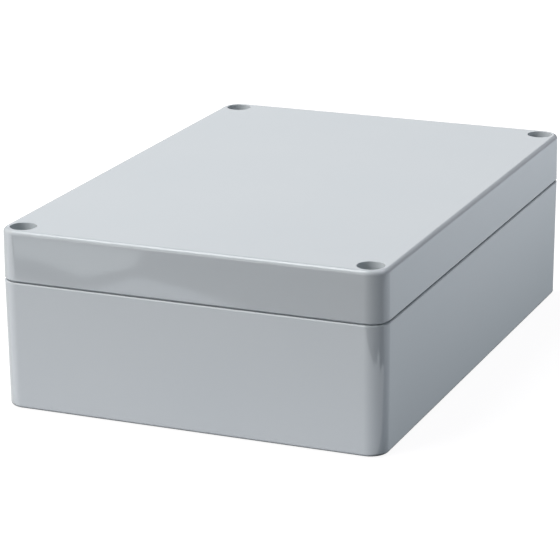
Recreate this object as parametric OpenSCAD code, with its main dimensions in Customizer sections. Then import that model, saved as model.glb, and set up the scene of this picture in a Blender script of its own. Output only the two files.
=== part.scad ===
// Sealed plastic project box: a deep base and a shallow lid that meet at a tongue-and-groove seam,
// with a gasket in the lid's groove and four machine screws that run down into brass inserts.
// The screws and the wall-fixing wells stand in the corners, outside the seal.
// Frame: millimetres, +Z up, origin at the centre of the underside. The front is -Y, the left is -X.

/* [Outside] */
// Width across the front, at the seam
width = 121; // [95:1:220]
// Depth from front to back, at the seam
depth = 171; // [125:1:300]
// Height of the base, from its underside to its ledge
base_height = 39.2; // [34:0.1:120]
// Height of the lid, from its rim to its top face
lid_height = 15.5; // [13.5:0.1:40]
// Gap that shows between the base's ledge and the lid's rim
seam_gap = 0.3; // [0.1:0.05:0.8]
// Radius of the upright corners at the seam
corner_radius = 6; // [4:0.5:8]
// Angle at which the outer faces lean in, away from the seam
draft_angle = 0.5; // [0.1:0.1:1.5]
// Radius round the edge of the lid's top face
lid_edge_radius = 1; // [0.5:0.1:1.5]
// Radius round the edge of the underside
foot_edge_radius = 1; // [0.5:0.1:1.5]
// Chamfer on the two edges that face each other across the seam
seam_chamfer = 0.25; // [0.1:0.05:0.5]

/* [Walls] */
// Thickness of the base's side walls at the seam
wall = 3; // [2.8:0.1:5]
// Thickness of the base's floor
floor_thickness = 3; // [2:0.1:6]
// Thickness of the lid's top
lid_thickness = 3; // [2:0.1:4]
// Radius of the cavity's inner corners
cavity_radius = 2; // [1:0.1:4]

/* [Seal] */
// Thickness of the tongue that stands on the base
tongue_thickness = 1.5; // [1:0.1:1.7]
// Height of the tongue above the base's ledge
tongue_height = 3.3; // [2:0.1:4]
// Clearance between the tongue and each side of its groove
tongue_clearance = 0.2; // [0.1:0.05:0.4]
// Thickness of the rib that closes the groove on its inner side
rib_thickness = 1.3; // [1:0.1:2]
// Height of the gasket as it lies in the groove
gasket_height = 2; // [1:0.1:3]
// Clearance between the gasket and each side of its groove
gasket_clearance = 0.05; // [0.02:0.01:0.2]
// Radius at which the seal turns round each corner block
seal_bend_radius = 3; // [2.5:0.1:5]

/* [Lid screws] */
// Distance from each outer side, at the seam, to a screw's axis
screw_inset = 6; // [6:0.5:10]
// Diameter of the screw's thread
screw_diameter = 4; // [3:0.5:4]
// Length of the screw under its head
screw_length = 16; // [14:1:18]
// Diameter of the screw's pan head
head_diameter = 7; // [6:0.1:7]
// Height of the screw's pan head
head_height = 2.6; // [2:0.1:3]
// Radius round the top edge of the pan head
head_edge_radius = 1.1; // [0.5:0.1:1.4]
// Length across the cross recess in the head
recess_span = 4; // [3:0.1:4.4]
// Width of each arm of the cross recess
recess_width = 0.9; // [0.6:0.1:1.2]
// Depth of the cross recess
recess_depth = 1.6; // [1:0.1:1.8]
// Diameter of the well in the lid that a screw head drops into
counterbore_diameter = 8; // [8:0.1:9]
// Height of the screw's seat above the lid's rim
seat_height = 7; // [5:0.5:8]
// Clearance round the screw where it passes through the lid
screw_clearance = 0.25; // [0.15:0.05:0.5]
// Thickness of the sealing washer under the head
washer_thickness = 0.8; // [0.5:0.1:1.2]
// Outer diameter of the sealing washer
washer_diameter = 7.6; // [7:0.1:7.8]
// Clearance between the sealing washer and the screw
washer_clearance = 0.1; // [0.05:0.01:0.3]

/* [Inserts] */
// Outer diameter of the brass insert
insert_diameter = 5.6; // [5.2:0.1:6.4]
// Length of the brass insert
insert_length = 8; // [6:0.5:10]
// Clearance between the screw and the insert's bore
thread_clearance = 0.05; // [0.02:0.01:0.1]
// Depth of the grooves between the insert's knurled bands
insert_groove_depth = 0.4; // [0.2:0.1:0.5]
// Room left in the bore below the screw's tip
tip_room = 2.5; // [1:0.5:4]
// Diameter of the raised land round each insert, on which the lid rests
land_diameter = 9; // [8:0.5:9.5]

/* [Wall fixing] */
// Diameter of the hole through the floor of each corner well
fixing_diameter = 4.5; // [3:0.1:5.5]
// Width of the corner well, across the enclosure
well_width = 8.2; // [7.5:0.1:10]
// Length of the corner well, along the enclosure
well_length = 11; // [8:0.5:16]
// Thickness of the floor under each corner well
well_floor = 5; // [3:0.5:8]
// Thickness between the corner well and the outer face
well_outer_wall = 2.4; // [2:0.1:3]
// Thickness between the corner well and the cavity
well_inner_wall = 3; // [2.8:0.1:4]
// Thickness between the corner well and the counterbore beside it
counterbore_wall = 1.5; // [1:0.1:3]
// Radius of the well's upright corners
well_radius = 2; // [1:0.1:3]

/* [Board posts] */
// Diameter of each post that carries a circuit board
post_diameter = 7; // [5:0.5:9]
// Height of each post above the floor
post_height = 5; // [3:0.5:12]
// Diameter of the pilot hole in each post
pilot_diameter = 2.8; // [2:0.1:3.5]
// Depth of the pilot hole
pilot_depth = 6; // [4:0.5:6]
// Distance from a corner block to the axis of the posts beside it
post_margin_x = 6.9; // [5.5:0.1:12]
// Distance from the cavity's end wall to the axis of the end posts
post_margin_y = 22.5; // [8:0.5:30]

/* [Hidden] */
$fn = 72;

// Each corner's name, and which side of the centre it is on in X and in Y
CORNERS = [
    ["front_left", -1, -1],
    ["front_right", 1, -1],
    ["back_left", -1, 1],
    ["back_right", 1, 1],
];

PLASTIC = [0.80, 0.83, 0.85];
RUBBER = [0.16, 0.17, 0.18];
STEEL = [0.72, 0.73, 0.75];
NYLON = [0.90, 0.90, 0.87];
BRASS = [0.80, 0.64, 0.31];

// How far a cutting shape runs past the face that it opens
CUT_OVERRUN = 1;

half_width = width / 2;
half_depth = depth / 2;
rim_z = base_height + seam_gap;
top_z = rim_z + lid_height;

screw_x = half_width - screw_inset;
screw_y = half_depth - screw_inset;
counterbore_reach = counterbore_diameter / 2 + counterbore_wall;

// A corner block reaches inwards past its well and its screw, and along past both.
land_reach = max(land_diameter, counterbore_diameter) / 2;
block_width = max(well_outer_wall + well_width, screw_inset + land_reach) + well_inner_wall;
block_depth = screw_inset + counterbore_reach + well_length + well_inner_wall;
well_x = half_width - well_outer_wall - well_width / 2;
well_y = screw_y - counterbore_reach - well_length / 2;

// The cavity is a cross in plan: full length between the corner blocks, and full width between them.
cavity_x = half_width - wall;
cavity_y = half_depth - wall;
neck_x = half_width - block_width;
neck_y = half_depth - block_depth;

groove_outer = tongue_thickness + tongue_clearance;
groove_depth = tongue_height - seam_gap + gasket_height;
groove_top_z = rim_z + groove_depth;

seat_z = rim_z + seat_height;
head_z = seat_z + washer_thickness;
tip_z = head_z - screw_length;
bore_bottom_z = min(tip_z, rim_z - insert_length) - tip_room;

post_x = neck_x - post_margin_x;
post_y = cavity_y - post_margin_y;

// ---- Outlines and sections ----

// A rectangle centred on the origin, with rounded corners
module rounded_rectangle(size_x, size_y, radius) {
    straight_x = size_x - 2 * radius;
    straight_y = size_y - 2 * radius;
    square([straight_x, size_y], center = true);
    square([size_x, straight_y], center = true);
    for (sx = [-1, 1], sy = [-1, 1])
        translate([sx * straight_x / 2, sy * straight_y / 2])
            circle(radius);
}

// The outline of the cavity, which the seal follows, moved out by grow: a long bar and a wide bar
// that cross, with a hollow bend where they meet at each corner block
module seal_outline(grow) {
    bend = seal_bend_radius - grow;
    rounded_rectangle(2 * (neck_x + grow), 2 * (cavity_y + grow), cavity_radius + grow);
    rounded_rectangle(2 * (cavity_x + grow), 2 * (neck_y + grow), cavity_radius + grow);
    for (sx = [-1, 1], sy = [-1, 1])
        translate([sx * (neck_x + grow), sy * (neck_y + grow)])
            difference() {
                square(2 * bend, center = true);
                translate([sx * bend, sy * bend])
                    circle(bend);
            }
}

// A prism on the seal's outline between two heights
module seal_prism(grow, from_z, to_z)
    translate([0, 0, from_z])
        linear_extrude(to_z - from_z)
            seal_outline(grow);

// A ring along the seal between two offsets from the cavity's outline
module seal_ring(inner, outer, from_z, to_z)
    difference() {
        seal_prism(outer, from_z, to_z);
        seal_prism(inner, from_z - CUT_OVERRUN, to_z + CUT_OVERRUN);
    }

// Section of an outer side, from the axis of an upright corner to the leaning face. The seam is at
// y = 0, and the face ends in a round at y = height.
module side_section(height, edge_radius) {
    round_y = height - edge_radius;
    round_x = corner_radius - round_y * tan(draft_angle) - edge_radius / cos(draft_angle);
    polygon([
        [0, 0],
        [corner_radius - seam_chamfer, 0],
        [corner_radius - seam_chamfer * tan(draft_angle), seam_chamfer],
        [round_x, round_y] + edge_radius * [cos(draft_angle), sin(draft_angle)],
        [round_x, height],
        [0, height],
    ]);
    translate([round_x, round_y])
        circle(edge_radius);
}

// One straight side, centred on the X axis and facing +X
module side_run(reach, run, height, edge_radius)
    translate([reach, run / 2, 0])
        rotate([90, 0, 0])
            linear_extrude(run)
                side_section(height, edge_radius);

// A block with leaning sides, rounded upright corners and a rounded far edge; the seam is at z = 0
module leaning_block(height, edge_radius) {
    core_x = half_width - corner_radius;
    core_y = half_depth - corner_radius;
    translate([-core_x, -core_y, 0])
        cube([2 * core_x, 2 * core_y, height]);
    for (turn = [0, 180])
        rotate([0, 0, turn]) {
            side_run(core_x, 2 * core_y, height, edge_radius);
            rotate([0, 0, 90])
                side_run(core_y, 2 * core_x, height, edge_radius);
            translate([core_x, core_y, 0])
                rotate_extrude(angle = 90)
                    side_section(height, edge_radius);
            translate([-core_x, core_y, 0])
                rotate([0, 0, 90])
                    rotate_extrude(angle = 90)
                        side_section(height, edge_radius);
        }
}

// Repeats its children at the four places (x, y) mirrored about both axes
module at_corners(x, y)
    for (corner = CORNERS)
        translate([corner[1] * x, corner[2] * y, 0])
            children();

// A rectangular well with rounded upright corners, centred on the Z axis
module well(from_z, to_z)
    translate([0, 0, from_z])
        linear_extrude(to_z - from_z)
            rounded_rectangle(well_width, well_length, well_radius);

// A cylinder between two heights
module shaft(diameter, from_z, to_z)
    translate([0, 0, from_z])
        cylinder(d = diameter, h = to_z - from_z);

// ---- Pieces ----

// Every post: a row along each side, at the front, the middle and the back
module at_posts()
    for (sx = [-1, 1], sy = [-1, 0, 1])
        translate([sx * post_x, sy * post_y, 0])
            children();

// The base's moulding before it is hollowed: block, tongue and the lands that the lid rests on
module base_body() {
    translate([0, 0, base_height])
        mirror([0, 0, 1])
            leaning_block(base_height, foot_edge_radius);
    seal_prism(tongue_thickness, base_height - CUT_OVERRUN, base_height + tongue_height);
    at_corners(screw_x, screw_y)
        shaft(land_diameter, base_height - CUT_OVERRUN, rim_z);
}

module base()
    color(PLASTIC)
        difference() {
            union() {
                difference() {
                    base_body();
                    seal_prism(0, floor_thickness, base_height + tongue_height + CUT_OVERRUN);
                    at_corners(well_x, well_y)
                        well(well_floor, base_height + CUT_OVERRUN);
                }
                at_posts()
                    shaft(post_diameter, floor_thickness - CUT_OVERRUN, floor_thickness + post_height);
            }
            at_corners(well_x, well_y)
                shaft(fixing_diameter, -CUT_OVERRUN, well_floor + CUT_OVERRUN);
            at_corners(screw_x, screw_y) {
                shaft(insert_diameter, rim_z - insert_length, rim_z + CUT_OVERRUN);
                shaft(screw_diameter + 2 * screw_clearance, bore_bottom_z, rim_z);
            }
            at_posts()
                shaft(
                    pilot_diameter,
                    floor_thickness + post_height - pilot_depth,
                    floor_thickness + post_height + CUT_OVERRUN
                );
        }

module lid()
    color(PLASTIC)
        difference() {
            translate([0, 0, rim_z])
                leaning_block(lid_height, lid_edge_radius);
            seal_prism(-tongue_clearance - rib_thickness, rim_z - CUT_OVERRUN, top_z - lid_thickness);
            seal_ring(-tongue_clearance, groove_outer, rim_z - CUT_OVERRUN, groove_top_z);
            at_corners(well_x, well_y)
                well(rim_z - CUT_OVERRUN, top_z - lid_thickness);
            at_corners(screw_x, screw_y) {
                shaft(counterbore_diameter, seat_z, top_z + CUT_OVERRUN);
                shaft(screw_diameter + 2 * screw_clearance, rim_z - CUT_OVERRUN, top_z);
            }
        }

module gasket()
    color(RUBBER)
        seal_ring(
            gasket_clearance - tongue_clearance,
            groove_outer - gasket_clearance,
            groove_top_z - gasket_height,
            groove_top_z
        );

// Half section of the pan head, with its top edge rounded
module head_section() {
    round_at = [head_diameter / 2, head_height] - head_edge_radius * [1, 1];
    polygon([
        [0, 0],
        [head_diameter / 2, 0],
        [head_diameter / 2, round_at.y],
        [round_at.x, head_height],
        [0, head_height],
    ]);
    translate(round_at)
        circle(head_edge_radius);
}

// A pan-head machine screw that stands with its head's underside at z = 0
module lid_screw() {
    tip_chamfer = screw_diameter / 8;
    color(STEEL)
        difference() {
            union() {
                rotate_extrude()
                    head_section();
                shaft(screw_diameter, tip_chamfer - screw_length, head_height / 2);
                translate([0, 0, -screw_length])
                    cylinder(d1 = screw_diameter - 2 * tip_chamfer, d2 = screw_diameter, h = tip_chamfer);
            }
            for (turn = [0, 90])
                rotate([0, 0, turn])
                    translate([-recess_span / 2, -recess_width / 2, head_height - recess_depth])
                        cube([recess_span, recess_width, recess_depth + CUT_OVERRUN]);
        }
}

// The flat washer under the head, with its underside at z = 0
module sealing_washer()
    color(NYLON)
        difference() {
            shaft(washer_diameter, 0, washer_thickness);
            shaft(screw_diameter + 2 * washer_clearance, -CUT_OVERRUN, washer_thickness + CUT_OVERRUN);
        }

// A brass insert that stands on z = 0: two knurled bands with a groove between them, and a lead-in
module threaded_insert() {
    bore = screw_diameter / 2 + thread_clearance;
    outer = insert_diameter / 2;
    waist = outer - insert_groove_depth;
    band = insert_length * 3 / 8;
    color(BRASS)
        rotate_extrude()
            polygon([
                [bore, 0],
                [waist, 0],
                [outer, insert_groove_depth],
                [outer, band],
                [waist, band],
                [waist, insert_length - band],
                [outer, insert_length - band],
                [outer, insert_length],
                [bore, insert_length],
            ]);
}

base();
lid();
gasket();
for (corner = CORNERS)
    translate([corner[1] * screw_x, corner[2] * screw_y, 0]) {
        translate([0, 0, head_z])
                lid_screw();
        translate([0, 0, seat_z])
                sealing_washer();
        translate([0, 0, rim_z - insert_length])
                threaded_insert();
    }
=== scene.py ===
"""Sealed plastic project box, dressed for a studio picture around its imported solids.

Each piece is modelled in millimetres with Blender's own operators, as by hand, is brought to
metres when it is finished, and rides on the body that carries the solid that it stands for. Places
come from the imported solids, and sizes are the fields of each class.
"""

import logging
import math
from collections.abc import Callable, Iterator, Sequence
from contextlib import contextmanager
from dataclasses import dataclass, field
from enum import Enum

import bmesh
import bpy
from mathutils import Matrix, Vector


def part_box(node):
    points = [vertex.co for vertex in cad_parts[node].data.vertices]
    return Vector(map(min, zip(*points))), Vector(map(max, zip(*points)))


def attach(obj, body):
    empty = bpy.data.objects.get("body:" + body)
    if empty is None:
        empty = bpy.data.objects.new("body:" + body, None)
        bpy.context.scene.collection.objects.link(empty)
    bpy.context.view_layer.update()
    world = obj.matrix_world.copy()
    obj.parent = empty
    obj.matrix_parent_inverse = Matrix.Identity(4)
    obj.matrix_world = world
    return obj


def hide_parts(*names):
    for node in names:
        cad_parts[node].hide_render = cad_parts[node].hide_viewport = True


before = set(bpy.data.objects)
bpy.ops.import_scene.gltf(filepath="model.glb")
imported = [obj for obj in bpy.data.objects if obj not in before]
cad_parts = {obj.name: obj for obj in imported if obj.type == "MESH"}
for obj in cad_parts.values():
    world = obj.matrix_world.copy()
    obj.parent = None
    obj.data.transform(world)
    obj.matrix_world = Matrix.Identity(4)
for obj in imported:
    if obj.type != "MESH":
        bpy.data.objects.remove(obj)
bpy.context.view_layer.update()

MM = 0.001  # metres in a millimetre
OVERRUN = 1.0  # how far a cutting shape runs past the face that it opens, in millimetres
NEAR = 0.01  # two heights closer than this are the same height, in millimetres
SMOOTH_BELOW = 32.0  # edges flatter than this many degrees are shaded smooth
CORNER_SEGMENTS = 20  # straight lines in each upright corner of the outside
EDGE_SEGMENTS = 8  # strips in each round along an outside edge
BEND_SEGMENTS = 8  # straight lines in each bend of the seal and the wells
BORE_SIDES = 64  # sides of bores and posts
FINE_SIDES = 48  # sides of screws, washers and inserts
FILLET_SEGMENTS = 4  # strips in the fillets inside the box
BREAK_SEGMENTS = 2  # strips in the small rounds at the foot of the wells
COMMON_NOISE = (0.3, 0.7)  # nearly all of a noise texture's values lie between these
WHITE = "#ffffff"

log = logging.getLogger("project_box")

Material, Tree, Socket = bpy.types.Material, bpy.types.NodeTree, bpy.types.NodeSocket
Place = tuple[float, float]
Profile = Sequence[tuple[float, float]]
PointTest = Callable[[Vector], bool]
Inputs = dict[str | int, object]


class Corner(Enum):
    """The four corners, each with the side of the middle that it is on in X and in Y."""

    FRONT_LEFT = (-1, -1)
    FRONT_RIGHT = (1, -1)
    BACK_LEFT = (-1, 1)
    BACK_RIGHT = (1, 1)

    @property
    def tag(self) -> str:
        """The corner's name as the nodes and bodies spell it."""
        return self.name.lower()

    def at(self, x: float, y: float) -> Place:
        """The place (x, y), mirrored into this corner."""
        return self.value[0] * x, self.value[1] * y


class Part(Enum):
    """What is picked in edit mode, with the name of its list in an edit mesh."""

    VERT = "verts"
    EDGE = "edges"
    FACE = "faces"


class Meeting(Enum):
    """How one closed shape meets another."""

    JOIN = "UNION"
    CUT = "DIFFERENCE"


class Slot(Enum):
    """The record's material slots."""

    ABS = "moulded_abs"
    RUBBER = "gasket_rubber"
    STEEL = "screw_steel"
    NYLON = "washer_nylon"
    BRASS = "insert_brass"


def deselect_everything() -> None:
    """Leaves edit mode and selects nothing, so that an operator acts on its own piece alone."""
    if bpy.context.mode != "OBJECT":
        bpy.ops.object.mode_set(mode="OBJECT")
    bpy.ops.object.select_all(action="DESELECT")


def box_of(node: str) -> tuple[Vector, Vector]:
    """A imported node's lowest and highest corners, in millimetres.

    Args:
        node: Name of the node.

    Returns:
        The lowest corner and the highest corner.
    """
    low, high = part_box(node)
    return low / MM, high / MM


# ---- Modelling ----


class Workpiece:
    """One mesh that is shaped step by step, in millimetres, with the operators of edit mode."""

    def __init__(self, name: str) -> None:
        """Takes over the primitive that was just added, and applies its size and place.

        Args:
            name: What the object is called from here on.
        """
        self.shape: bpy.types.Object = bpy.context.active_object
        self.shape.name = name
        bpy.ops.object.transform_apply(location=True, rotation=True, scale=True)

    @classmethod
    def plate(cls, name: str, size: Place, z: float, middle: Place = (0.0, 0.0)) -> "Workpiece":
        """A flat rectangle that faces up.

        Args:
            name: Its name.
            size: Its width and depth.
            z: The height that it lies at.
            middle: The place of its centre.

        Returns:
            The new workpiece.
        """
        deselect_everything()
        bpy.ops.mesh.primitive_plane_add(size=1, location=(*middle, z))
        bpy.context.active_object.scale = (*size, 1)
        return cls(name)

    @classmethod
    def rounded_plate(
        cls, name: str, size: Place, radius: float, z: float, segments: int
    ) -> "Workpiece":
        """A flat rectangle with rounded corners, centred on the Z axis.

        Args:
            name: Its name.
            size: Its width and depth.
            radius: The radius of its corners.
            z: The height that it lies at.
            segments: How many straight lines make up each round.

        Returns:
            The new workpiece.
        """
        piece = cls.plate(name, size, z)
        piece.round_points(radius, segments, lambda point: True)
        return piece

    @classmethod
    def turned(cls, name: str, profile: Profile, sides: int, ring: bool = False) -> "Workpiece":
        """A solid of revolution about the Z axis, made from a circle by extruding and resizing it.

        Args:
            name: Its name.
            profile: Radius and height at each step, from the first circle to the last.
            sides: How many straight sides stand for the round.
            ring: Whether the profile closes on itself, round a hole, and isn't capped at its ends.

        Returns:
            The new workpiece.
        """
        deselect_everything()
        radius, z = profile[0]
        bpy.ops.mesh.primitive_circle_add(vertices=sides, radius=radius, location=(0, 0, z))
        piece = cls(name)
        with piece.editing():
            bpy.ops.mesh.select_all(action="SELECT")
            for next_radius, next_z in [*profile[1:], *([profile[0]] if ring else [])]:
                size, rise = next_radius / radius, next_z - z
                bpy.ops.mesh.extrude_region_move(TRANSFORM_OT_translate={"value": (0, 0, rise)})
                bpy.ops.transform.resize(value=(size, size, 1), center_override=(0, 0, next_z))
                radius, z = next_radius, next_z
            if ring:
                bpy.ops.mesh.select_all(action="SELECT")
                bpy.ops.mesh.remove_doubles(threshold=NEAR / 10)
            piece.close()
        return piece

    @contextmanager
    def editing(self) -> Iterator[None]:
        """Edit mode on this piece alone, entered with nothing of it selected."""
        self.take_up()
        bpy.ops.object.mode_set(mode="EDIT")
        bpy.ops.mesh.select_mode(type=Part.EDGE.name)
        bpy.ops.mesh.select_all(action="DESELECT")
        yield
        bpy.ops.object.mode_set(mode="OBJECT")

    def take_up(self) -> None:
        """Makes this piece the only one selected, and the active one."""
        deselect_everything()
        self.shape.select_set(True)
        bpy.context.view_layer.objects.active = self.shape

    def pick(self, part: Part, wanted: PointTest) -> None:
        """Selects the points, edges or faces that lie where they are wanted. It needs edit mode.

        Args:
            part: What is picked.
            wanted: Says of a point whether it lies in the wanted place. All points of an edge or
                a face have to, and a face's middle too.
        """
        bpy.ops.mesh.select_mode(type=part.name)
        bpy.ops.mesh.select_all(action="DESELECT")
        mesh = bmesh.from_edit_mesh(self.shape.data)
        for found in getattr(mesh, part.value):
            places = [point.co for point in ([found] if part is Part.VERT else found.verts)]
            if part is Part.FACE:
                places.append(found.calc_center_median())
            if all(wanted(place) for place in places):
                found.select_set(True)
        bmesh.update_edit_mesh(self.shape.data)

    def close(self) -> None:
        """Caps each open loop and turns every face outwards. It needs edit mode."""
        bpy.ops.mesh.select_mode(type=Part.EDGE.name)
        for _ in range(2):
            bpy.ops.mesh.select_all(action="DESELECT")
            bpy.ops.mesh.select_non_manifold()
            mesh = bmesh.from_edit_mesh(self.shape.data)
            open_edges = [edge for edge in mesh.edges if edge.select]
            if not open_edges:
                break
            height = open_edges[0].verts[0].co.z
            self.pick(Part.EDGE, lambda point: abs(point.z - height) < NEAR)
            bpy.ops.mesh.edge_face_add()
        bpy.ops.mesh.select_all(action="SELECT")
        bpy.ops.mesh.normals_make_consistent(inside=False)

    def round_points(self, radius: float, segments: int, wanted: PointTest) -> None:
        """Rounds the corners of a flat outline.

        Args:
            radius: The radius of the round, at a square corner.
            segments: How many straight lines make it up.
            wanted: Says of a corner whether it is rounded.
        """
        with self.editing():
            self.pick(Part.VERT, wanted)
            bpy.ops.mesh.bevel(
                offset=radius, segments=segments, affect="VERTICES", clamp_overlap=False
            )

    def round_edges(self, width: float, segments: int, wanted: PointTest) -> None:
        """Bevels edges: one segment makes a chamfer, and more make a round.

        Args:
            width: How far the bevel reaches from the edge along each face.
            segments: How many strips of faces make it up.
            wanted: Says of a point whether it lies on an edge that is bevelled.
        """
        with self.editing():
            self.pick(Part.EDGE, wanted)
            bpy.ops.mesh.bevel(offset=width, segments=segments, affect="EDGES", clamp_overlap=False)

    def draw(self, steps: Profile, down: bool = False) -> "Workpiece":
        """Draws a flat outline out into a closed solid, by insets that also move along the normal.

        Args:
            steps: How far the face is drawn in, and how far onwards, at each step.
            down: Whether it is drawn down from the outline, and not up.

        Returns:
            This workpiece.
        """
        with self.editing():
            bpy.ops.mesh.select_mode(type=Part.FACE.name)
            bpy.ops.mesh.select_all(action="SELECT")
            if down:
                bpy.ops.mesh.flip_normals()
            for inwards, onwards in steps:
                bpy.ops.mesh.inset(thickness=inwards, depth=onwards, use_boundary=True)
            self.close()
        return self

    def meet(self, how: Meeting, tool: "Workpiece") -> None:
        """Joins another closed shape to this one, or cuts it away, and uses the other up.

        Args:
            how: Whether it joins or cuts.
            tool: The other shape.
        """
        self.take_up()
        bpy.ops.object.modifier_add(type="BOOLEAN")
        modifier = self.shape.modifiers[-1]
        modifier.operation = how.value
        modifier.solver = "EXACT"
        modifier.object = tool.shape
        bpy.ops.object.modifier_apply(modifier=modifier.name)
        bpy.data.objects.remove(tool.shape)

    def copy_to(self, name: str, place: Place, z: float = 0.0) -> "Workpiece":
        """A copy with its own mesh.

        Args:
            name: The copy's name.
            place: How far it stands from this one in X and Y.
            z: How far it stands above this one.

        Returns:
            The copy.
        """
        self.take_up()
        bpy.ops.object.duplicate(linked=False)
        bpy.ops.transform.translate(value=(*place, z))
        return Workpiece(name)

    def spread(self, places: Sequence[Place]) -> "Workpiece":
        """Stands this shape at several places, as one workpiece of separate shells.

        Args:
            places: Where the copies stand, from the place that this one was modelled at.

        Returns:
            The new workpiece. This one is used up.
        """
        name = self.shape.name
        copies = [self.copy_to(f"{name}_copy", place) for place in places]
        bpy.data.objects.remove(self.shape)
        deselect_everything()
        for copy in copies:
            copy.shape.select_set(True)
        bpy.context.view_layer.objects.active = copies[0].shape
        bpy.ops.object.join()
        return copies[0]

    def finish(self, body: str, slot: Slot, material: Material, stands_for: str) -> None:
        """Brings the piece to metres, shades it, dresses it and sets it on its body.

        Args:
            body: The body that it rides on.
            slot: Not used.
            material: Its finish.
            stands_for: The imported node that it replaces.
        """
        self.take_up()
        self.shape.scale = (MM, MM, MM)
        bpy.ops.object.transform_apply(location=True, rotation=True, scale=True)
        bpy.ops.object.shade_smooth_by_angle(angle=math.radians(SMOOTH_BELOW))
        bpy.ops.object.modifier_add(type="WEIGHTED_NORMAL")
        modifier = self.shape.modifiers[-1]
        modifier.keep_sharp = True
        bpy.ops.object.modifier_apply(modifier=modifier.name)
        self.shape.data.materials.clear()
        self.shape.data.materials.append(material)
        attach(self.shape, body)
        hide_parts(stands_for)
        log.info("%s: %d faces, on %s", self.shape.name, len(self.shape.data.polygons), body)

    def finish_at_corners(
        self, at: Place, body: str, slot: Slot, material: Material, stands_for: str
    ) -> None:
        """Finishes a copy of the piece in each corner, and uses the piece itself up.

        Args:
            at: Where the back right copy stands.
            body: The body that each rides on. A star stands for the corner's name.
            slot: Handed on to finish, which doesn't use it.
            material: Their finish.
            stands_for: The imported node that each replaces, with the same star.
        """
        for corner in Corner:
            copy = self.copy_to(f"{self.shape.name}_{corner.tag}", corner.at(*at))
            own_body, own_node = (name.replace("*", corner.tag) for name in (body, stands_for))
            copy.finish(own_body, slot, material, own_node)
        bpy.data.objects.remove(self.shape)


# ---- Finishes ----


def linear(colour: str) -> tuple[float, float, float, float]:
    """Turns an sRGB hex colour into the linear values that a shader takes.

    Args:
        colour: Six hex digits after a hash.

    Returns:
        Red, green, blue and alpha.
    """
    shares = [int(colour[i : i + 2], 16) / 255 for i in (1, 3, 5)]
    red, green, blue = (c / 12.92 if c <= 0.04045 else ((c + 0.055) / 1.055) ** 2.4 for c in shares)
    return red, green, blue, 1.0


MIX_COLOURS = (6, 7)  # the Mix node's two colour inputs, whose names aren't theirs alone
MIX_RESULT = 2  # its colour output


def per_metre(size_mm: float) -> float:
    """The scale that makes one feature of a pattern this many millimetres across."""
    return 1 / (size_mm * MM)


def add_node(
    tree: Tree,
    kind: str,
    settings: dict[str, object] | None = None,
    inputs: Inputs | None = None,
) -> bpy.types.Node:
    """Adds a node, with its settings, its values and what feeds it.

    Args:
        tree: The node tree.
        kind: The node's type.
        settings: Attributes that are set on it.
        inputs: For each input, by name or number, a value or the socket that is linked to it.

    Returns:
        The new node.
    """
    node = tree.nodes.new(kind)
    for name, value in (settings or {}).items():
        setattr(node, name, value)
    for name, value in (inputs or {}).items():
        if isinstance(value, Socket):
            tree.links.new(value, node.inputs[name])
        else:
            node.inputs[name].default_value = value
    return node


def new_material(name: str) -> tuple[Material, Tree]:
    """An empty node material.

    Args:
        name: Its name.

    Returns:
        The material and its node tree.
    """
    material = bpy.data.materials.new(name)
    material.use_nodes = True
    material.node_tree.nodes.clear()
    return material, material.node_tree


def add_relief(
    tree: Tree,
    place: Socket,
    size_mm: float,
    height_mm: float,
    noise: tuple[float, float],
    under: Socket | None = None,
) -> tuple[Socket, Socket]:
    """Adds a noise and the bump that it raises.

    Args:
        tree: The node tree.
        place: The coordinates that the noise is read at.
        size_mm: How wide one of its features is.
        height_mm: How high one stands.
        noise: The noise's detail and roughness.
        under: The normal of a relief that this one lies on.

    Returns:
        The noise's value and the bumped normal.
    """
    detail, roughness = noise
    texture = add_node(
        tree,
        "ShaderNodeTexNoise",
        inputs={
            "Vector": place,
            "Scale": per_metre(size_mm),
            "Detail": detail,
            "Roughness": roughness,
        },
    )
    height = texture.outputs["Fac"]
    inputs = {"Height": height, "Strength": 1.0, "Distance": height_mm * MM}
    if under:
        inputs["Normal"] = under
    return height, add_node(tree, "ShaderNodeBump", inputs=inputs).outputs["Normal"]


@dataclass(frozen=True)
class Finish:
    """What every finish has: a name, a colour and a slightly uneven polish."""

    name: str
    colour: str
    roughness: float
    rough_spread: float

    def add_surface(self, tree: Tree, uneven: Socket, inputs: Inputs) -> None:
        """Ends the material: the polish, the shader and the output.

        Args:
            tree: The node tree.
            uneven: The value that the polish varies with.
            inputs: The shader's other inputs.
        """
        polish = add_node(
            tree,
            "ShaderNodeMapRange",
            inputs={
                "Value": uneven,
                "From Min": COMMON_NOISE[0],
                "From Max": COMMON_NOISE[1],
                "To Min": self.roughness - self.rough_spread,
                "To Max": self.roughness + self.rough_spread,
            },
        )
        shader = add_node(
            tree,
            "ShaderNodeBsdfPrincipled",
            inputs={"Roughness": polish.outputs["Result"], **inputs},
        )
        add_node(tree, "ShaderNodeOutputMaterial", inputs={"Surface": shader.outputs["BSDF"]})


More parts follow.
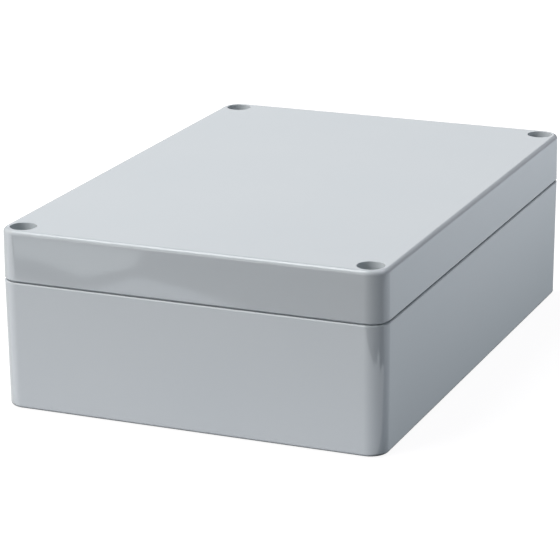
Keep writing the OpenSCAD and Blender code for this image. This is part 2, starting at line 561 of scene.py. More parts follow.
@dataclass(frozen=True)
class MouldedAbs(Finish):
    """Light grey ABS, injection moulded in a finely blasted tool.

    It is opaque and satin: broad soft reflections that wander a little, because the moulding cools
    unevenly, and a fine dry grain that only breaks their edges.
    """

    name: str = "moulded_abs_light_grey"
    colour: str = "#c4cacd"
    roughness: float = 0.06
    rough_spread: float = 0.01
    flow_colour: str = "#c0c7cb"
    ior: float = 1.53
    grain_mm: float = 0.4
    grain_height_mm: float = 0.0006
    sink_mm: float = 26.0
    sink_height_mm: float = 0.004
    flow_mm: float = 45.0

    def material(self) -> Material:
        """Builds the node material."""
        material, tree = new_material(self.name)
        place = add_node(tree, "ShaderNodeTexCoord").outputs["Object"]
        # Melt that cooled at different times is a shade bluer in places
        flow = add_node(
            tree,
            "ShaderNodeTexNoise",
            inputs={
                "Vector": place,
                "Scale": per_metre(self.flow_mm),
                "Detail": 2.0,
                "Roughness": 0.5,
            },
        ).outputs["Fac"]
        tint = add_node(
            tree,
            "ShaderNodeMix",
            {"data_type": "RGBA"},
            {
                "Factor": flow,
                MIX_COLOURS[0]: linear(self.colour),
                MIX_COLOURS[1]: linear(self.flow_colour),
            },
        )
        # Broad, very shallow sink over walls and blocks, and the blasted tool's grain on it
        _, sunk = add_relief(tree, place, self.sink_mm, self.sink_height_mm, (1.0, 0.4))
        _, grained = add_relief(
            tree, place, self.grain_mm, self.grain_height_mm, (3.0, 0.6), under=sunk
        )
        self.add_surface(
            tree,
            flow,
            {"Base Color": tint.outputs[MIX_RESULT], "IOR": self.ior, "Normal": grained},
        )
        return material


@dataclass(frozen=True)
class PlainFinish(Finish):
    """A finish with one colour and one fine texture."""

    texture_mm: float
    texture_height_mm: float
    metallic: float = 0.0
    ior: float = 1.5
    stretch: tuple[float, float, float] = (1.0, 1.0, 1.0)

    def material(self) -> Material:
        """Builds the node material. A metal keeps the shader's own IOR."""
        material, tree = new_material(self.name)
        place = add_node(tree, "ShaderNodeTexCoord").outputs["Object"]
        along = add_node(
            tree, "ShaderNodeMapping", inputs={"Vector": place, "Scale": self.stretch}
        ).outputs["Vector"]
        height, normal = add_relief(
            tree, along, self.texture_mm, self.texture_height_mm, (3.0, 0.6)
        )
        inputs = {"Base Color": linear(self.colour), "Metallic": self.metallic, "Normal": normal}
        if not self.metallic:
            inputs["IOR"] = self.ior
        self.add_surface(tree, height, inputs)
        return material


@dataclass(frozen=True)
class Finishes:
    """Every finish that the box's pieces take."""

    # Moulded ABS: satin, opaque, and grey with a little blue
    abs: MouldedAbs = MouldedAbs()
    # Moulded EPDM rubber: nearly black, dull, with a skin that catches little light
    rubber: PlainFinish = PlainFinish(
        "epdm_rubber_black", "#2a2c2f", 0.62, 0.08, 0.25, 0.006, ior=1.52
    )
    # Cold-headed stainless steel: bright, with the faint lines of rolling round the thread
    steel: PlainFinish = PlainFinish(
        "stainless_steel_cold_headed", "#c3c2bf", 0.26, 0.06, 0.18, 0.002, metallic=1.0
    )
    # Moulded natural nylon: milky, waxy and smooth
    nylon: PlainFinish = PlainFinish(
        "nylon_natural_moulded", "#e4e1d6", 0.38, 0.06, 0.4, 0.002, ior=1.53
    )
    # Turned brass: yellow, with rings left by the tool
    brass: PlainFinish = PlainFinish(
        "brass_turned", "#d8b25c", 0.24, 0.06, 0.2, 0.003, metallic=1.0, stretch=(0.1, 0.1, 1.0)
    )


# ---- The box ----


@dataclass(frozen=True)
class BoxPlan:
    """Places and sizes that several pieces share, in millimetres."""

    half_width: float
    half_depth: float
    tongue_top: float
    rim_z: float
    top_z: float
    seat_z: float
    head_z: float
    head_top: float
    tip_z: float
    insert_low: float
    gasket_low: float
    gasket_high: float
    screw_x: float
    screw_y: float
    seam_gap: float = 0.3
    corner_radius: float = 6.0
    draft_degrees: float = 0.5
    wall: float = 3.0
    well_width: float = 8.2
    well_length: float = 11.0
    well_radius: float = 2.0
    well_outer_wall: float = 2.4
    well_inner_wall: float = 3.0
    counterbore_radius: float = 4.0
    counterbore_wall: float = 1.5
    land_radius: float = 4.5
    bore_radius: float = 2.25
    cavity_radius: float = 2.0
    bend_radius: float = 3.0
    tongue: float = 1.5
    tongue_clearance: float = 0.2
    rib: float = 1.3

    @classmethod
    def from_solids(cls) -> "BoxPlan":
        """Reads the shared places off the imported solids."""
        tag = Corner.BACK_RIGHT.tag
        base_high = box_of("base")[1]
        lid_low, lid_high = box_of("lid")
        gasket_low, gasket_high = box_of("gasket")
        washer_low, washer_high = box_of(f"sealing_washer_{tag}")
        screw_low, screw_high = box_of(f"lid_screw_{tag}")
        axis = (washer_low + washer_high) / 2
        return cls(
            half_width=base_high.x,
            half_depth=base_high.y,
            tongue_top=base_high.z,
            rim_z=lid_low.z,
            top_z=lid_high.z,
            seat_z=washer_low.z,
            head_z=washer_high.z,
            head_top=screw_high.z,
            tip_z=screw_low.z,
            insert_low=box_of(f"threaded_insert_{tag}")[0].z,
            gasket_low=gasket_low.z,
            gasket_high=gasket_high.z,
            screw_x=axis.x,
            screw_y=axis.y,
        )

    @property
    def ledge_z(self) -> float:
        """Height of the base's ledge, under the seam."""
        return self.rim_z - self.seam_gap

    @property
    def well_at(self) -> Place:
        """Centre of the back right wall-fixing well."""
        reach = self.counterbore_radius + self.counterbore_wall
        return (
            self.half_width - self.well_outer_wall - self.well_width / 2,
            self.screw_y - reach - self.well_length / 2,
        )

    @property
    def neck(self) -> Place:
        """Half of the cavity's width between corner blocks, and half of its length between them."""
        x, y = self.well_at
        return (
            x - self.well_width / 2 - self.well_inner_wall,
            y - self.well_length / 2 - self.well_inner_wall,
        )

    @property
    def screws(self) -> list[Place]:
        """The axes of the four lid screws."""
        return [corner.at(self.screw_x, self.screw_y) for corner in Corner]

    @property
    def wells(self) -> list[Place]:
        """The centres of the four wall-fixing wells."""
        return [corner.at(*self.well_at) for corner in Corner]

    def leaning_block(
        self,
        name: str,
        z: float,
        height: float,
        edge_radius: float,
        seam_chamfer: float,
        down: bool = False,
    ) -> Workpiece:
        """The outside of the base or the lid: a rounded block that leans in, away from the seam.

        Args:
            name: Its name.
            z: The height of its seam face.
            height: How tall it is.
            edge_radius: The round along its far edge.
            seam_chamfer: The chamfer along its seam edge.
            down: Whether it hangs down from the seam.

        Returns:
            The block, with its far edge rounded and its seam edge chamfered.
        """
        size = (2 * self.half_width, 2 * self.half_depth)
        block = Workpiece.rounded_plate(name, size, self.corner_radius, z, CORNER_SEGMENTS)
        block.draw([(height * math.tan(math.radians(self.draft_degrees)), height)], down)
        far = z - height if down else z + height
        block.round_edges(edge_radius, EDGE_SEGMENTS, lambda point: abs(point.z - far) < NEAR)
        block.round_edges(seam_chamfer, 1, lambda point: abs(point.z - z) < NEAR)
        return block

    def seal_plate(self, name: str, grow: float, z: float) -> Workpiece:
        """The seal's outline, a cross in plan, as a flat face that faces up.

        Args:
            name: Its name.
            grow: How far it stands outside the cavity's wall.
            z: The height that it lies at.

        Returns:
            The outline, with its four hollow bends and its eight outer corners rounded.
        """
        half_x, half_y = self.half_width - self.wall + grow, self.half_depth - self.wall + grow
        neck_x, neck_y = (size + grow for size in self.neck)
        plate = Workpiece.plate(name, (2 * half_x, 2 * half_y), z)
        with plate.editing():
            for place, normal in (
                ((neck_x, 0, 0), (1, 0, 0)),
                ((-neck_x, 0, 0), (1, 0, 0)),
                ((0, neck_y, 0), (0, 1, 0)),
                ((0, -neck_y, 0), (0, 1, 0)),
            ):
                bpy.ops.mesh.select_all(action="SELECT")
                bpy.ops.mesh.bisect(plane_co=place, plane_no=normal)
            beyond_x, beyond_y = neck_x - NEAR, neck_y - NEAR
            plate.pick(Part.FACE, lambda point: abs(point.x) > beyond_x and abs(point.y) > beyond_y)
            bpy.ops.mesh.delete(type="FACE")
            bpy.ops.mesh.select_all(action="SELECT")
            bpy.ops.mesh.dissolve_limited(angle_limit=math.radians(1))

        def at_bend(point: Vector) -> bool:
            return abs(abs(point.x) - neck_x) < NEAR and abs(abs(point.y) - neck_y) < NEAR

        def at_corner(point: Vector) -> bool:
            ends = abs(abs(point.y) - half_y) < NEAR and abs(abs(point.x) - neck_x) < NEAR
            sides = abs(abs(point.x) - half_x) < NEAR and abs(abs(point.y) - neck_y) < NEAR
            return ends or sides

        plate.round_points(self.bend_radius - grow, BEND_SEGMENTS, at_bend)
        plate.round_points(self.cavity_radius + grow, BEND_SEGMENTS, at_corner)
        return plate

    def fixing_wells(
        self, name: str, mouth: float, end: float, flare: float, end_round: float
    ) -> Workpiece:
        """The shapes that cut the four corner wells out of the base or the lid.

        Args:
            name: Their name.
            mouth: The height that they open at.
            end: The height of their floor or roof.
            flare: How far the edge of their mouth is broken.
            end_round: The round along the edge of their floor or roof.

        Returns:
            The four shapes, as one workpiece.
        """
        down = end < mouth
        start = mouth + (OVERRUN if down else -OVERRUN)
        size = (self.well_width + 2 * flare, self.well_length + 2 * flare)
        well = Workpiece.rounded_plate(name, size, self.well_radius + flare, start, BEND_SEGMENTS)
        well.draw([(0, OVERRUN), (flare, flare), (0, abs(end - mouth) - flare)], down)
        well.round_edges(end_round, BREAK_SEGMENTS, lambda point: abs(point.z - end) < NEAR)
        return well.spread(self.wells)


@dataclass
class Base:
    """The base's moulding: a deep tray with a tongue, corner wells, posts and insert bores."""

    plan: BoxPlan
    finish: Material
    floor: float = 3.0
    foot_edge: float = 1.0
    seam_chamfer: float = 0.3
    inner_fillet: float = 0.8
    rim_break: float = 0.3
    land_break: float = 0.1
    well_floor: float = 5.0
    fixing_radius: float = 2.25
    insert_radius: float = 2.8
    bore_bottom: float = 28.8
    post_radius: float = 3.5
    post_height: float = 5.0
    post_fillet: float = 0.7
    pilot_radius: float = 1.4
    pilot_depth: float = 6.0
    post_margin: Place = (6.9, 22.5)

    def build(self) -> None:
        """Models the moulding and sets it on its body."""
        plan = self.plan
        base = plan.leaning_block(
            "base_shell", plan.ledge_z, plan.ledge_z, self.foot_edge, self.seam_chamfer, down=True
        )
        rise = plan.tongue_top - plan.ledge_z
        tongue = plan.seal_plate("tongue", plan.tongue, plan.ledge_z - OVERRUN)
        tongue.draw([(0, OVERRUN + rise - self.rim_break), (self.rim_break, self.rim_break)])
        base.meet(Meeting.JOIN, tongue)
        lands = Workpiece.turned(
            "land",
            [
                (plan.land_radius, plan.ledge_z - OVERRUN),
                (plan.land_radius, plan.rim_z - self.land_break),
                (plan.land_radius - self.land_break, plan.rim_z),
            ],
            BORE_SIDES,
        )
        base.meet(Meeting.JOIN, lands.spread(plan.screws))
        base.meet(Meeting.CUT, self.cavity())
        base.meet(Meeting.CUT, self.wells())
        base.meet(Meeting.JOIN, self.posts())
        base.meet(Meeting.CUT, self.pilots())
        base.meet(Meeting.CUT, self.fixing_holes())
        base.meet(Meeting.CUT, self.insert_bores())
        base.finish("base", Slot.ABS, self.finish, "base")

    def cavity(self) -> Workpiece:
        """The room inside, with its lower edges rounded and its mouth broken."""
        plan = self.plan
        top = plan.tongue_top
        room = plan.seal_plate("cavity", self.rim_break, top + OVERRUN)
        edge = self.rim_break
        room.draw([(0, OVERRUN), (edge, edge), (0, top - edge - self.floor)], down=True)
        room.round_edges(
            self.inner_fillet, FILLET_SEGMENTS, lambda point: abs(point.z - self.floor) < NEAR
        )
        return room

    def wells(self) -> Workpiece:
        """The four wells that the wall-fixing screws are driven in."""
        return self.plan.fixing_wells(
            "well", self.plan.ledge_z, self.well_floor, self.rim_break / 2, self.rim_break
        )

    @property
    def post_places(self) -> list[Place]:
        """The axes of the six posts."""
        x = self.plan.neck[0] - self.post_margin[0]
        y = self.plan.half_depth - self.plan.wall - self.post_margin[1]
        return [(side * x, row * y) for side in (-1, 1) for row in (-1, 0, 1)]

    def posts(self) -> Workpiece:
        """Six posts that stand on the floor, with a fillet at the foot."""
        foot = self.floor + self.post_fillet
        top = self.floor + self.post_height
        turns = [math.radians(30 * step) for step in range(4)]
        fillet = [
            (
                self.post_radius + self.post_fillet * (1 - math.sin(turn)),
                foot - self.post_fillet * math.cos(turn),
            )
            for turn in turns
        ]
        profile = [
            (fillet[0][0], self.floor - OVERRUN),
            *fillet,
            (self.post_radius, top - self.rim_break),
            (self.post_radius - self.rim_break, top),
        ]
        return Workpiece.turned("post", profile, BORE_SIDES).spread(self.post_places)

    def pilots(self) -> Workpiece:
        """The hole down the middle of each post, for a thread-forming screw."""
        top = self.floor + self.post_height
        profile = [
            (self.pilot_radius, top - self.pilot_depth),
            (self.pilot_radius, top - self.rim_break),
            (self.pilot_radius + self.rim_break, top),
            (self.pilot_radius + self.rim_break, top + OVERRUN),
        ]
        return Workpiece.turned("pilot", profile, BORE_SIDES).spread(self.post_places)

    def fixing_holes(self) -> Workpiece:
        """The hole through the floor of each corner well, with both its mouths flared."""
        radius, flare = self.fixing_radius, self.rim_break
        wide = radius + flare + OVERRUN
        profile = [
            (wide, -OVERRUN),
            (radius, flare),
            (radius, self.well_floor - flare),
            (wide, self.well_floor + OVERRUN),
        ]
        return Workpiece.turned("fixing_hole", profile, BORE_SIDES).spread(self.plan.wells)

    def insert_bores(self) -> Workpiece:
        """The stepped bore down each corner: the insert's seat, and room for the screw below it."""
        plan = self.plan
        profile = [
            (plan.bore_radius, self.bore_bottom),
            (plan.bore_radius, plan.insert_low),
            (self.insert_radius, plan.insert_low),
            (self.insert_radius, plan.rim_z + OVERRUN),
        ]
        return Workpiece.turned("insert_bore", profile, BORE_SIDES).spread(plan.screws)


@dataclass
class Lid:
    """The lid's moulding: a shallow cap with a groove, corner wells and counterbores."""

    plan: BoxPlan
    finish: Material
    thickness: float = 3.0
    top_edge: float = 1.3
    seam_chamfer: float = 0.45
    inner_fillet: float = 0.8
    rim_break: float = 0.2
    mouth_break: float = 0.06

    def build(self) -> None:
        """Models the moulding and sets it on its body."""
        plan = self.plan
        lid = plan.leaning_block(
            "lid_shell",
            plan.rim_z,
            plan.top_z - plan.rim_z,
            self.top_edge,
            self.seam_chamfer,
        )
        lid.meet(Meeting.CUT, self.cavity())
        lid.meet(Meeting.CUT, self.groove())
        lid.meet(Meeting.CUT, self.wells())
        lid.meet(Meeting.CUT, self.screw_wells())
        lid.finish("lid", Slot.ABS, self.finish, "lid")

    @property
    def ceiling(self) -> float:
        """Height of the lid's inner face."""
        return self.plan.top_z - self.thickness

    def cavity(self) -> Workpiece:
        """The room inside, inwards of the rib."""
        plan = self.plan
        grow = -plan.tongue_clearance - plan.rib
        flare = self.rim_break
        room = plan.seal_plate("lid_cavity", grow + flare, plan.rim_z - OVERRUN)
        room.draw([(0, OVERRUN), (flare, flare), (0, self.ceiling - plan.rim_z - flare)])
        room.round_edges(
            self.inner_fillet, FILLET_SEGMENTS, lambda point: abs(point.z - self.ceiling) < NEAR
        )
        return room

    def groove(self) -> Workpiece:
        """The groove that the tongue enters and the gasket lies in."""
        plan = self.plan
        low, height = plan.rim_z - OVERRUN, plan.gasket_high - plan.rim_z
        outer = plan.seal_plate("groove", plan.tongue + plan.tongue_clearance, low)
        outer.draw([(0, OVERRUN + height)])
        inner = plan.seal_plate("groove_core", -plan.tongue_clearance, low - OVERRUN)
        inner.draw([(0, height + 3 * OVERRUN)])
        outer.meet(Meeting.CUT, inner)
        return outer

    def wells(self) -> Workpiece:
        """The upper part of the four wall-fixing wells."""
        # Their roof stays clear of the ceiling's own height, where a cut would leave torn faces
        roof = self.ceiling - 3 * NEAR
        flare = self.rim_break
        return self.plan.fixing_wells("lid_well", self.plan.rim_z, roof, flare, flare)

    def screw_wells(self) -> Workpiece:
        """The four stepped wells that the screws stand in, open at the top face."""
        plan = self.plan
        radius, flare = plan.counterbore_radius, self.mouth_break
        profile = [
            (plan.bore_radius, plan.rim_z - OVERRUN),
            (plan.bore_radius, plan.seat_z),
            (radius, plan.seat_z),
            (radius, plan.top_z - flare),
            (radius + flare + OVERRUN, plan.top_z + OVERRUN),
        ]
        return Workpiece.turned("screw_well", profile, BORE_SIDES).spread(plan.screws)


@dataclass
class Gasket:
    """The rubber ring in the lid's groove, which the tongue presses on."""

    plan: BoxPlan
    finish: Material
    clearance: float = 0.05
    edge_round: float = 0.35
    round_segments: int = 3

    def build(self) -> None:
        """Models the ring, with three of its four edges broken, and sets it on the lid."""
        plan = self.plan
        low, high = plan.gasket_low, plan.gasket_high
        grow = plan.tongue + plan.tongue_clearance - self.clearance
        outer = plan.seal_plate("gasket_ring", grow, low)
        outer.draw([(0, high - low)])
        outer.round_edges(
            self.edge_round,
            self.round_segments,
            lambda point: min(abs(point.z - low), abs(point.z - high)) < NEAR,
        )
        cut = self.edge_round
        shrink = self.clearance - plan.tongue_clearance + cut
        inner = plan.seal_plate("gasket_core", shrink, low - OVERRUN)
        inner.draw([(0, OVERRUN), (cut, cut), (0, high - low - cut + OVERRUN)])
        outer.meet(Meeting.CUT, inner)
        outer.finish("lid", Slot.RUBBER, self.finish, "gasket")


@dataclass
class LidScrews:
    """Four pan-head machine screws with a cross recess and a rolled thread."""

    plan: BoxPlan
    finish: Material
    head_radius: float = 3.5
    shank_radius: float = 2.0
    core_radius: float = 1.63
    pitch: float = 0.7
    thread_steps: int = 24
    thread_root: float = 0.6
    thread_crest: float = 0.1
    thread_sink: float = 0.15  # how far its foot lies inside the core
    thread_start: float = 0.5
    thread_end: float = 1.2
    recess_span: float = 4.0
    recess_width: float = 0.9
    recess_depth: float = 1.6
    recess_foot: Place = (0.45, 0.6)  # shares of its span and width that are left at its foot
    tip_break: float = 0.4
    neck: Profile = ((0.0, 1.0), (0.15, 0.25), (0.4, 0.0))  # past the core, and below the head
    head_break: float = 0.12
    head_side: float = 0.42  # share of the head's height that its straight side takes
    dome_fullness: float = 0.55
    dome_turns: tuple[float, ...] = (8, 20, 34, 48, 62, 74, 83)  # degrees, from side to crown
    crown_radius: float = 0.3

    def build(self) -> None:
        """Models one screw and copies it to the four corners."""
        plan = self.plan
        screw = Workpiece.turned("pan_screw", self.profile(), FINE_SIDES)
        screw.meet(Meeting.JOIN, self.thread())
        for turn in (0, 90):
            screw.meet(Meeting.CUT, self.recess_arm(turn))
        screw.finish_at_corners(
            (plan.screw_x, plan.screw_y), "screw_*", Slot.STEEL, self.finish, "lid_screw_*"
        )

    def profile(self) -> list[tuple[float, float]]:
        """Half section of the head and the core, from the tip to the crown of the head."""
        tip, under, top = self.plan.tip_z, self.plan.head_z, self.plan.head_top
        core, head = self.core_radius, self.head_radius
        shoulder = under + (top - under) * self.head_side
        rise = top - shoulder
        dome = [
            (head * math.cos(turn) ** self.dome_fullness, shoulder + rise * math.sin(turn))
            for turn in map(math.radians, self.dome_turns)
        ]
        return [
            (core - self.tip_break, tip),
            (core, tip + self.tip_break),
            *((core + out, under - below) for out, below in self.neck),
            (head - self.head_break, under),
            (head, under + self.head_break),
            (head, shoulder),
            *dome,
            (self.crown_radius, top),
        ]

    def thread(self) -> Workpiece:
        """The thread's ridge: a wedge section wound up the core by the Screw modifier."""
        plan = self.plan
        inner = self.core_radius - self.thread_sink
        middle = plan.tip_z + self.thread_start
        deselect_everything()
        bpy.ops.mesh.primitive_plane_add(
            size=1,
            rotation=(math.radians(90), 0, 0),
            location=((inner + self.shank_radius) / 2, 0, middle),
        )
        bpy.context.active_object.scale = (self.shank_radius - inner, self.thread_root, 1)
        ridge = Workpiece("thread")
        with ridge.editing():
            ridge.pick(Part.VERT, lambda point: point.x > self.shank_radius - NEAR)
            share = self.thread_crest / self.thread_root
            bpy.ops.transform.resize(value=(1, 1, share), center_override=(0, 0, middle))
            bpy.ops.mesh.select_all(action="SELECT")
            bpy.ops.mesh.delete(type="ONLY_FACE")
        bpy.ops.object.modifier_add(type="SCREW")
        modifier = ridge.shape.modifiers[-1]
        modifier.axis = "Z"
        modifier.screw_offset = self.pitch
        modifier.iterations = int((plan.head_z - self.thread_end - middle) / self.pitch)
        modifier.steps = modifier.render_steps = self.thread_steps
        bpy.ops.object.modifier_apply(modifier=modifier.name)
        with ridge.editing():
            bpy.ops.mesh.select_non_manifold()
            bpy.ops.mesh.fill()
            bpy.ops.mesh.select_all(action="SELECT")
            bpy.ops.mesh.normals_make_consistent(inside=False)
        return ridge

    def recess_arm(self, turn: float) -> Workpiece:
        """One arm of the cross recess, which narrows towards its foot.

        Args:
            turn: Its direction about the screw's axis, in degrees.

        Returns:
            The cutting shape.
        """
        top = self.plan.head_top
        foot = top - self.recess_depth
        along, across = self.recess_foot
        size = (self.recess_span * along, self.recess_width * across)
        arm = Workpiece.plate("recess_arm", size, foot)
        with arm.editing():
            bpy.ops.mesh.select_mode(type=Part.FACE.name)
            bpy.ops.mesh.select_all(action="SELECT")
            bpy.ops.mesh.extrude_region_move(
                TRANSFORM_OT_translate={"value": (0, 0, self.recess_depth)}
            )
            bpy.ops.transform.resize(value=(1 / along, 1 / across, 1), center_override=(0, 0, top))
            bpy.ops.mesh.extrude_region_move(TRANSFORM_OT_translate={"value": (0, 0, OVERRUN)})
            arm.close()
        arm.take_up()
        arm.shape.rotation_euler = (0, 0, math.radians(turn))
        bpy.ops.object.transform_apply(location=True, rotation=True, scale=True)
        return arm


@dataclass
class SealingWashers:
    """Four flat washers under the screw heads."""

    plan: BoxPlan
    finish: Material
    outer_radius: float = 3.8
    bore_radius: float = 2.1
    edge_break: float = 0.12

    def build(self) -> None:
        """Models one washer and copies it to the four corners."""
        plan = self.plan
        outer, bore, edge = self.outer_radius, self.bore_radius, self.edge_break
        low, high = plan.seat_z, plan.head_z
        profile = [
            (bore, low + edge),
            (bore + edge, low),
            (outer - edge, low),
            (outer, low + edge),
            (outer, high - edge),
            (outer - edge, high),
            (bore + edge, high),
            (bore, high - edge),
        ]
        washer = Workpiece.turned("washer", profile, FINE_SIDES, ring=True)
        washer.finish_at_corners(
            (plan.screw_x, plan.screw_y), "washer_*", Slot.NYLON, self.finish, "sealing_washer_*"
        )


@dataclass
class ThreadedInserts:
    """Four brass inserts pressed into the base, each with two knurled bands."""

    plan: BoxPlan
    finish: Material
    outer_radius: float = 2.8
    bore_radius: float = 2.05
    groove: float = 0.4
    mouth_break: float = 0.25
    flute_edge: float = 0.05
    flute_depth: float = 0.12
    band_share: float = 3 / 8  # of the insert's height that each knurled band takes

    def build(self) -> None:
        """Models one insert and copies it to the four corners."""
        plan = self.plan
        low, high = plan.insert_low, plan.rim_z
        band = (high - low) * self.band_share
        outer, bore = self.outer_radius, self.bore_radius
        waist = outer - self.groove
        profile = [
            (bore, low),
            (waist, low),
            (outer, low + self.groove),
            (outer, low + band),
            (waist, low + band),
            (waist, high - band),
            (outer, high - band),
            (outer, high),
            (bore + self.mouth_break, high),
            (bore, high - self.mouth_break),
        ]
        insert = Workpiece.turned("insert", profile, FINE_SIDES, ring=True)
        self.knurl(insert, low, high)
        insert.finish_at_corners(
            (plan.screw_x, plan.screw_y), "base", Slot.BRASS, self.finish, "threaded_insert_*"
        )

    def knurl(self, insert: Workpiece, low: float, high: float) -> None:
        """Sinks a straight flute into every side of both bands.

        Args:
            insert: The insert.
            low: Height of its underside.
            high: Height of its top.
        """
        with insert.editing():
            insert.pick(
                Part.FACE,
                lambda point: (
                    point.xy.length > self.outer_radius - NEAR and low < point.z <= high + NEAR
                ),
            )
            bpy.ops.mesh.inset(
                thickness=self.flute_edge, depth=-self.flute_depth, use_individual=True
            )


# ---- The studio ----


@dataclass(frozen=True)
class Softbox:
    """One soft light that faces the box: where it hangs, and how bright its face is."""

    name: str
    azimuth: float  # degrees from the front, towards the right
    elevation: float  # degrees above the floor
    size: Place  # width and height in metres
    radiance: float
    colour: str = WHITE
    in_gloss: bool = True  # whether the box's gloss shows its face
    reach: float = 1.8  # metres from the aim to the face
    aim: tuple[float, float, float] = (0.0, 0.0, 0.03)

    def build(self) -> None:
        """Hangs the light. Its power comes from the radiance of its face and its area."""
        lamp = bpy.data.lights.new(self.name, "AREA")
        lamp.shape = "RECTANGLE"
        lamp.size, lamp.size_y = self.size
        lamp.energy = self.radiance * math.pi * self.size[0] * self.size[1]
        lamp.color = linear(self.colour)[:3]
        outwards = direction(self.azimuth, self.elevation)
        light = bpy.data.objects.new(self.name, lamp)
        light.location = Vector(self.aim) + outwards * self.reach
        light.rotation_euler = (-outwards).to_track_quat("-Z", "Y").to_euler()
        light.visible_glossy = self.in_gloss
        bpy.context.scene.collection.objects.link(light)


# Sheets laid round the box, as outlines in millimetres. The one in front has a torn far edge and
# two creased flaps
FRONT_SHEET = (
    *((-1000, -85.5), (-1000, -300), (-230, -230), (-150, -212), (-100, -204), (2, -201)),
    *((46, -190), (65, -180), (88, -163), (108, -142), (118, -132), (138, -124)),
    *((140, -114), (125, -105), (132, -92), (137, -84), (132, -72), (70, -85.5)),
)
LEFT_FLAP = (
    *((-175, -262), (-96, -258), (-90, -237), (-100, -217)),
    *((-113, -225), (-127, -232), (-150, -230)),
)
MIDDLE_FLAP = ((-94, -205), (-88, -212), (-84, -225), (-75, -224), (-60, -218), (-34, -206))
RIGHT_SHEET = ((60.5, -85.5), (70, -85.5), (132, -72), (230, -72), (230, 1000), (60.5, 1000))
LEFT_SHEET = (
    *((-1000, -85.5), (-60.5, -85.5), (-60.5, 85.5)),
    *((60.5, 85.5), (60.5, 1000), (-1000, 1000)),
)
FAR_RIGHT_SHEET = ((230, -72), (1000, -72), (1000, 1000), (230, 1000))


class Shows(Enum):
    """Which part of the box's surface light a sheet gives."""

    GLOSS = "visible_glossy"
    BOUNCE = "visible_diffuse"


@dataclass(frozen=True)
class ReflectorSheet:
    """A pale sheet on the floor, out of sight: it only lights the box or shows in its gloss."""

    name: str
    outline: Sequence[Place]
    shows: Shows
    radiance: float
    colour: str = WHITE
    z: float = -0.2  # just above the floor and below the box's underside, in millimetres

    def build(self) -> None:
        """Lays the sheet: a flat face whose points are set on its outline."""
        deselect_everything()
        bpy.ops.mesh.primitive_circle_add(vertices=len(self.outline), fill_type="NGON")
        sheet = bpy.context.active_object
        sheet.name = self.name
        for point, (x, y) in zip(sheet.data.vertices, self.outline):
            point.co = Vector((x, y, self.z)) * MM
        material, tree = new_material(self.name)
        glow = add_node(
            tree,
            "ShaderNodeEmission",
            inputs={"Color": linear(self.colour), "Strength": self.radiance},
        )
        add_node(tree, "ShaderNodeOutputMaterial", inputs={"Surface": glow.outputs["Emission"]})
        sheet.data.materials.append(material)
        sheet.visible_camera = sheet.visible_shadow = False
        for share in Shows:
            setattr(sheet, share.value, share is self.shows)


def direction(azimuth: float, elevation: float) -> Vector:
    """The direction from the box towards a place in the room.

    Args:
        azimuth: Degrees from the front, towards the right.
        elevation: Degrees above the floor.

    Returns:
        The direction, one metre long.
    """
    turn, tilt = math.radians(azimuth), math.radians(elevation)
    level = math.cos(tilt)
    return Vector((math.sin(turn) * level, -math.cos(turn) * level, math.sin(tilt)))


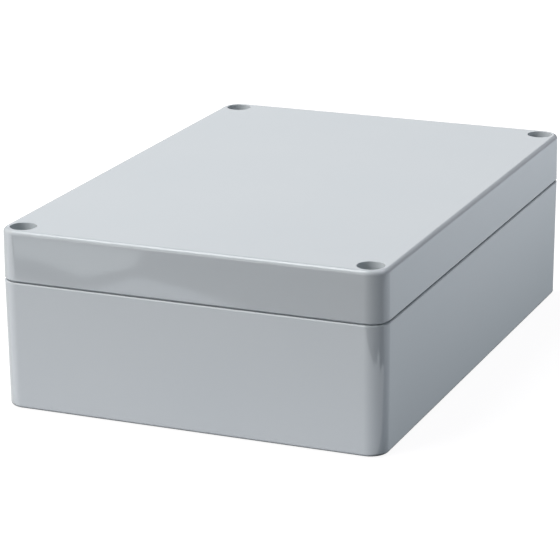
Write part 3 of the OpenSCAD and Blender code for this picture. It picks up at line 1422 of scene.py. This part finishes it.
@dataclass
class Studio:
    """A pale floor, soft light and the camera."""

    camera_place: tuple[float, float, float] = (0.294416, -0.717389, 0.264599)
    azimuth: float = 22.7397
    elevation: float = 17.4139
    roll: float = -0.488
    lens: float = 164.8066
    sensor_width: float = 36.0
    clip_start: float = 0.01
    floor_size: float = 12.0
    floor_z: float = -0.0004  # clear of the box's underside, which lies at zero
    floor_colour: str = "#7d7d7d"
    floor_glow: float = 0.92
    floor_roughness: float = 0.9
    world_strength: float = 0.015
    lights: list[Softbox] = field(
        default_factory=lambda: [
            Softbox("key_left", 280, 36, (1.7, 1.2), 1.26, "#fff2eb"),
            Softbox("front_left", 325, 28, (0.9, 1.0), 5.49, "#fffefe", in_gloss=False),
            Softbox("low_left", 300, 6, (1.5, 0.45), 0.52, "#ffd6bf"),
            Softbox("low_front", 335, 7, (0.7, 0.4), 3.16),
            Softbox("top_left", 270, 66, (1.2, 0.9), 4.03, "#fbfeff"),
            Softbox("top_front", 315, 63, (0.7, 0.7), 3.65, "#fbfdff"),
            Softbox("top_right", 150, 60, (1.1, 0.9), 1.67, "#ffeffe"),
            Softbox("right_fill", 90, 30, (1.0, 1.0), 1.35, "#e6f6ff"),
            Softbox("back_low", 203, 17, (0.9, 0.7), 0.92, "#f9fdff"),
            Softbox("back_left", 234, 9, (1.1, 0.4), 2.5, in_gloss=False),
        ]
    )
    sheets: list[ReflectorSheet] = field(
        default_factory=lambda: [
            ReflectorSheet("front_sheet_gloss", FRONT_SHEET, Shows.GLOSS, 1.69, "#f8fcff"),
            ReflectorSheet("front_sheet_bounce", FRONT_SHEET, Shows.BOUNCE, 0.46, "#f0f3ff"),
            ReflectorSheet("left_flap", LEFT_FLAP, Shows.GLOSS, 1.5, "#f3fcff"),
            ReflectorSheet("middle_flap", MIDDLE_FLAP, Shows.GLOSS, 1.5, "#edf6ff"),
            ReflectorSheet("right_sheet_gloss", RIGHT_SHEET, Shows.GLOSS, 0.83, "#eef9ff"),
            ReflectorSheet("right_sheet_bounce", RIGHT_SHEET, Shows.BOUNCE, 0.22, "#f0f0ff"),
            ReflectorSheet("far_right_sheet", FAR_RIGHT_SHEET, Shows.BOUNCE, 4.4, "#fffbfe"),
            ReflectorSheet("left_sheet_gloss", LEFT_SHEET, Shows.GLOSS, 0.8),
            ReflectorSheet("left_sheet_bounce", LEFT_SHEET, Shows.BOUNCE, 0.8),
        ]
    )

    def build(self) -> None:
        """Sets the camera, the floor, the lights and the world."""
        self.place_camera()
        self.lay_floor()
        for item in (*self.lights, *self.sheets):
            item.build()
        self.light_world()
        bpy.context.scene.view_settings.view_transform = "Standard"

    def place_camera(self) -> None:
        """Stands the camera at the front, a little to the right and above."""
        turn, roll = math.radians(self.azimuth), math.radians(self.roll)
        back = direction(self.azimuth, self.elevation)
        level = Vector((math.cos(turn), math.sin(turn), 0))
        rise = back.cross(level)
        right = level * math.cos(roll) + rise * math.sin(roll)
        up = rise * math.cos(roll) - level * math.sin(roll)
        camera = bpy.data.objects.new("camera", bpy.data.cameras.new("camera"))
        camera.data.lens = self.lens
        camera.data.sensor_width = self.sensor_width
        camera.data.clip_start = self.clip_start
        camera.matrix_world = Matrix.Translation(self.camera_place) @ Matrix(
            (right, up, back)
        ).transposed().to_4x4()
        bpy.context.scene.collection.objects.link(camera)
        bpy.context.scene.camera = camera

    def lay_floor(self) -> None:
        """Lays a wide pale floor, lit from below so that it stays nearly free of shadow."""
        deselect_everything()
        bpy.ops.mesh.primitive_plane_add(size=self.floor_size, location=(0, 0, self.floor_z))
        floor = bpy.context.active_object
        floor.name = "floor"
        material, tree = new_material("floor_pale_sheet")
        shader = add_node(
            tree,
            "ShaderNodeBsdfPrincipled",
            inputs={
                "Base Color": linear(self.floor_colour),
                "Roughness": self.floor_roughness,
                "Specular IOR Level": 0.0,
                "Emission Color": linear(WHITE),
                "Emission Strength": self.floor_glow,
            },
        )
        add_node(tree, "ShaderNodeOutputMaterial", inputs={"Surface": shader.outputs["BSDF"]})
        floor.data.materials.append(material)
        floor.visible_diffuse = False
        floor.visible_glossy = False

    def light_world(self) -> None:
        """Fills the room with a dim even light."""
        world = bpy.data.worlds.new("room")
        world.use_nodes = True
        background = world.node_tree.nodes["Background"]
        background.inputs["Color"].default_value = linear(WHITE)
        background.inputs["Strength"].default_value = self.world_strength
        bpy.context.scene.world = world


def main() -> None:
    """Builds the studio and every piece of the box, in order."""
    logging.basicConfig(level=logging.INFO, format="%(name)s: %(message)s")
    plan, finishes = BoxPlan.from_solids(), Finishes()
    Studio().build()
    moulded_abs = finishes.abs.material()
    for assembly in (
        Base(plan, moulded_abs),
        Lid(plan, moulded_abs),
        Gasket(plan, finishes.rubber.material()),
        LidScrews(plan, finishes.steel.material()),
        SealingWashers(plan, finishes.nylon.material()),
        ThreadedInserts(plan, finishes.brass.material()),
    ):
        assembly.build()
        log.info("%s built", type(assembly).__name__)


if __name__ == "__main__":
    main()
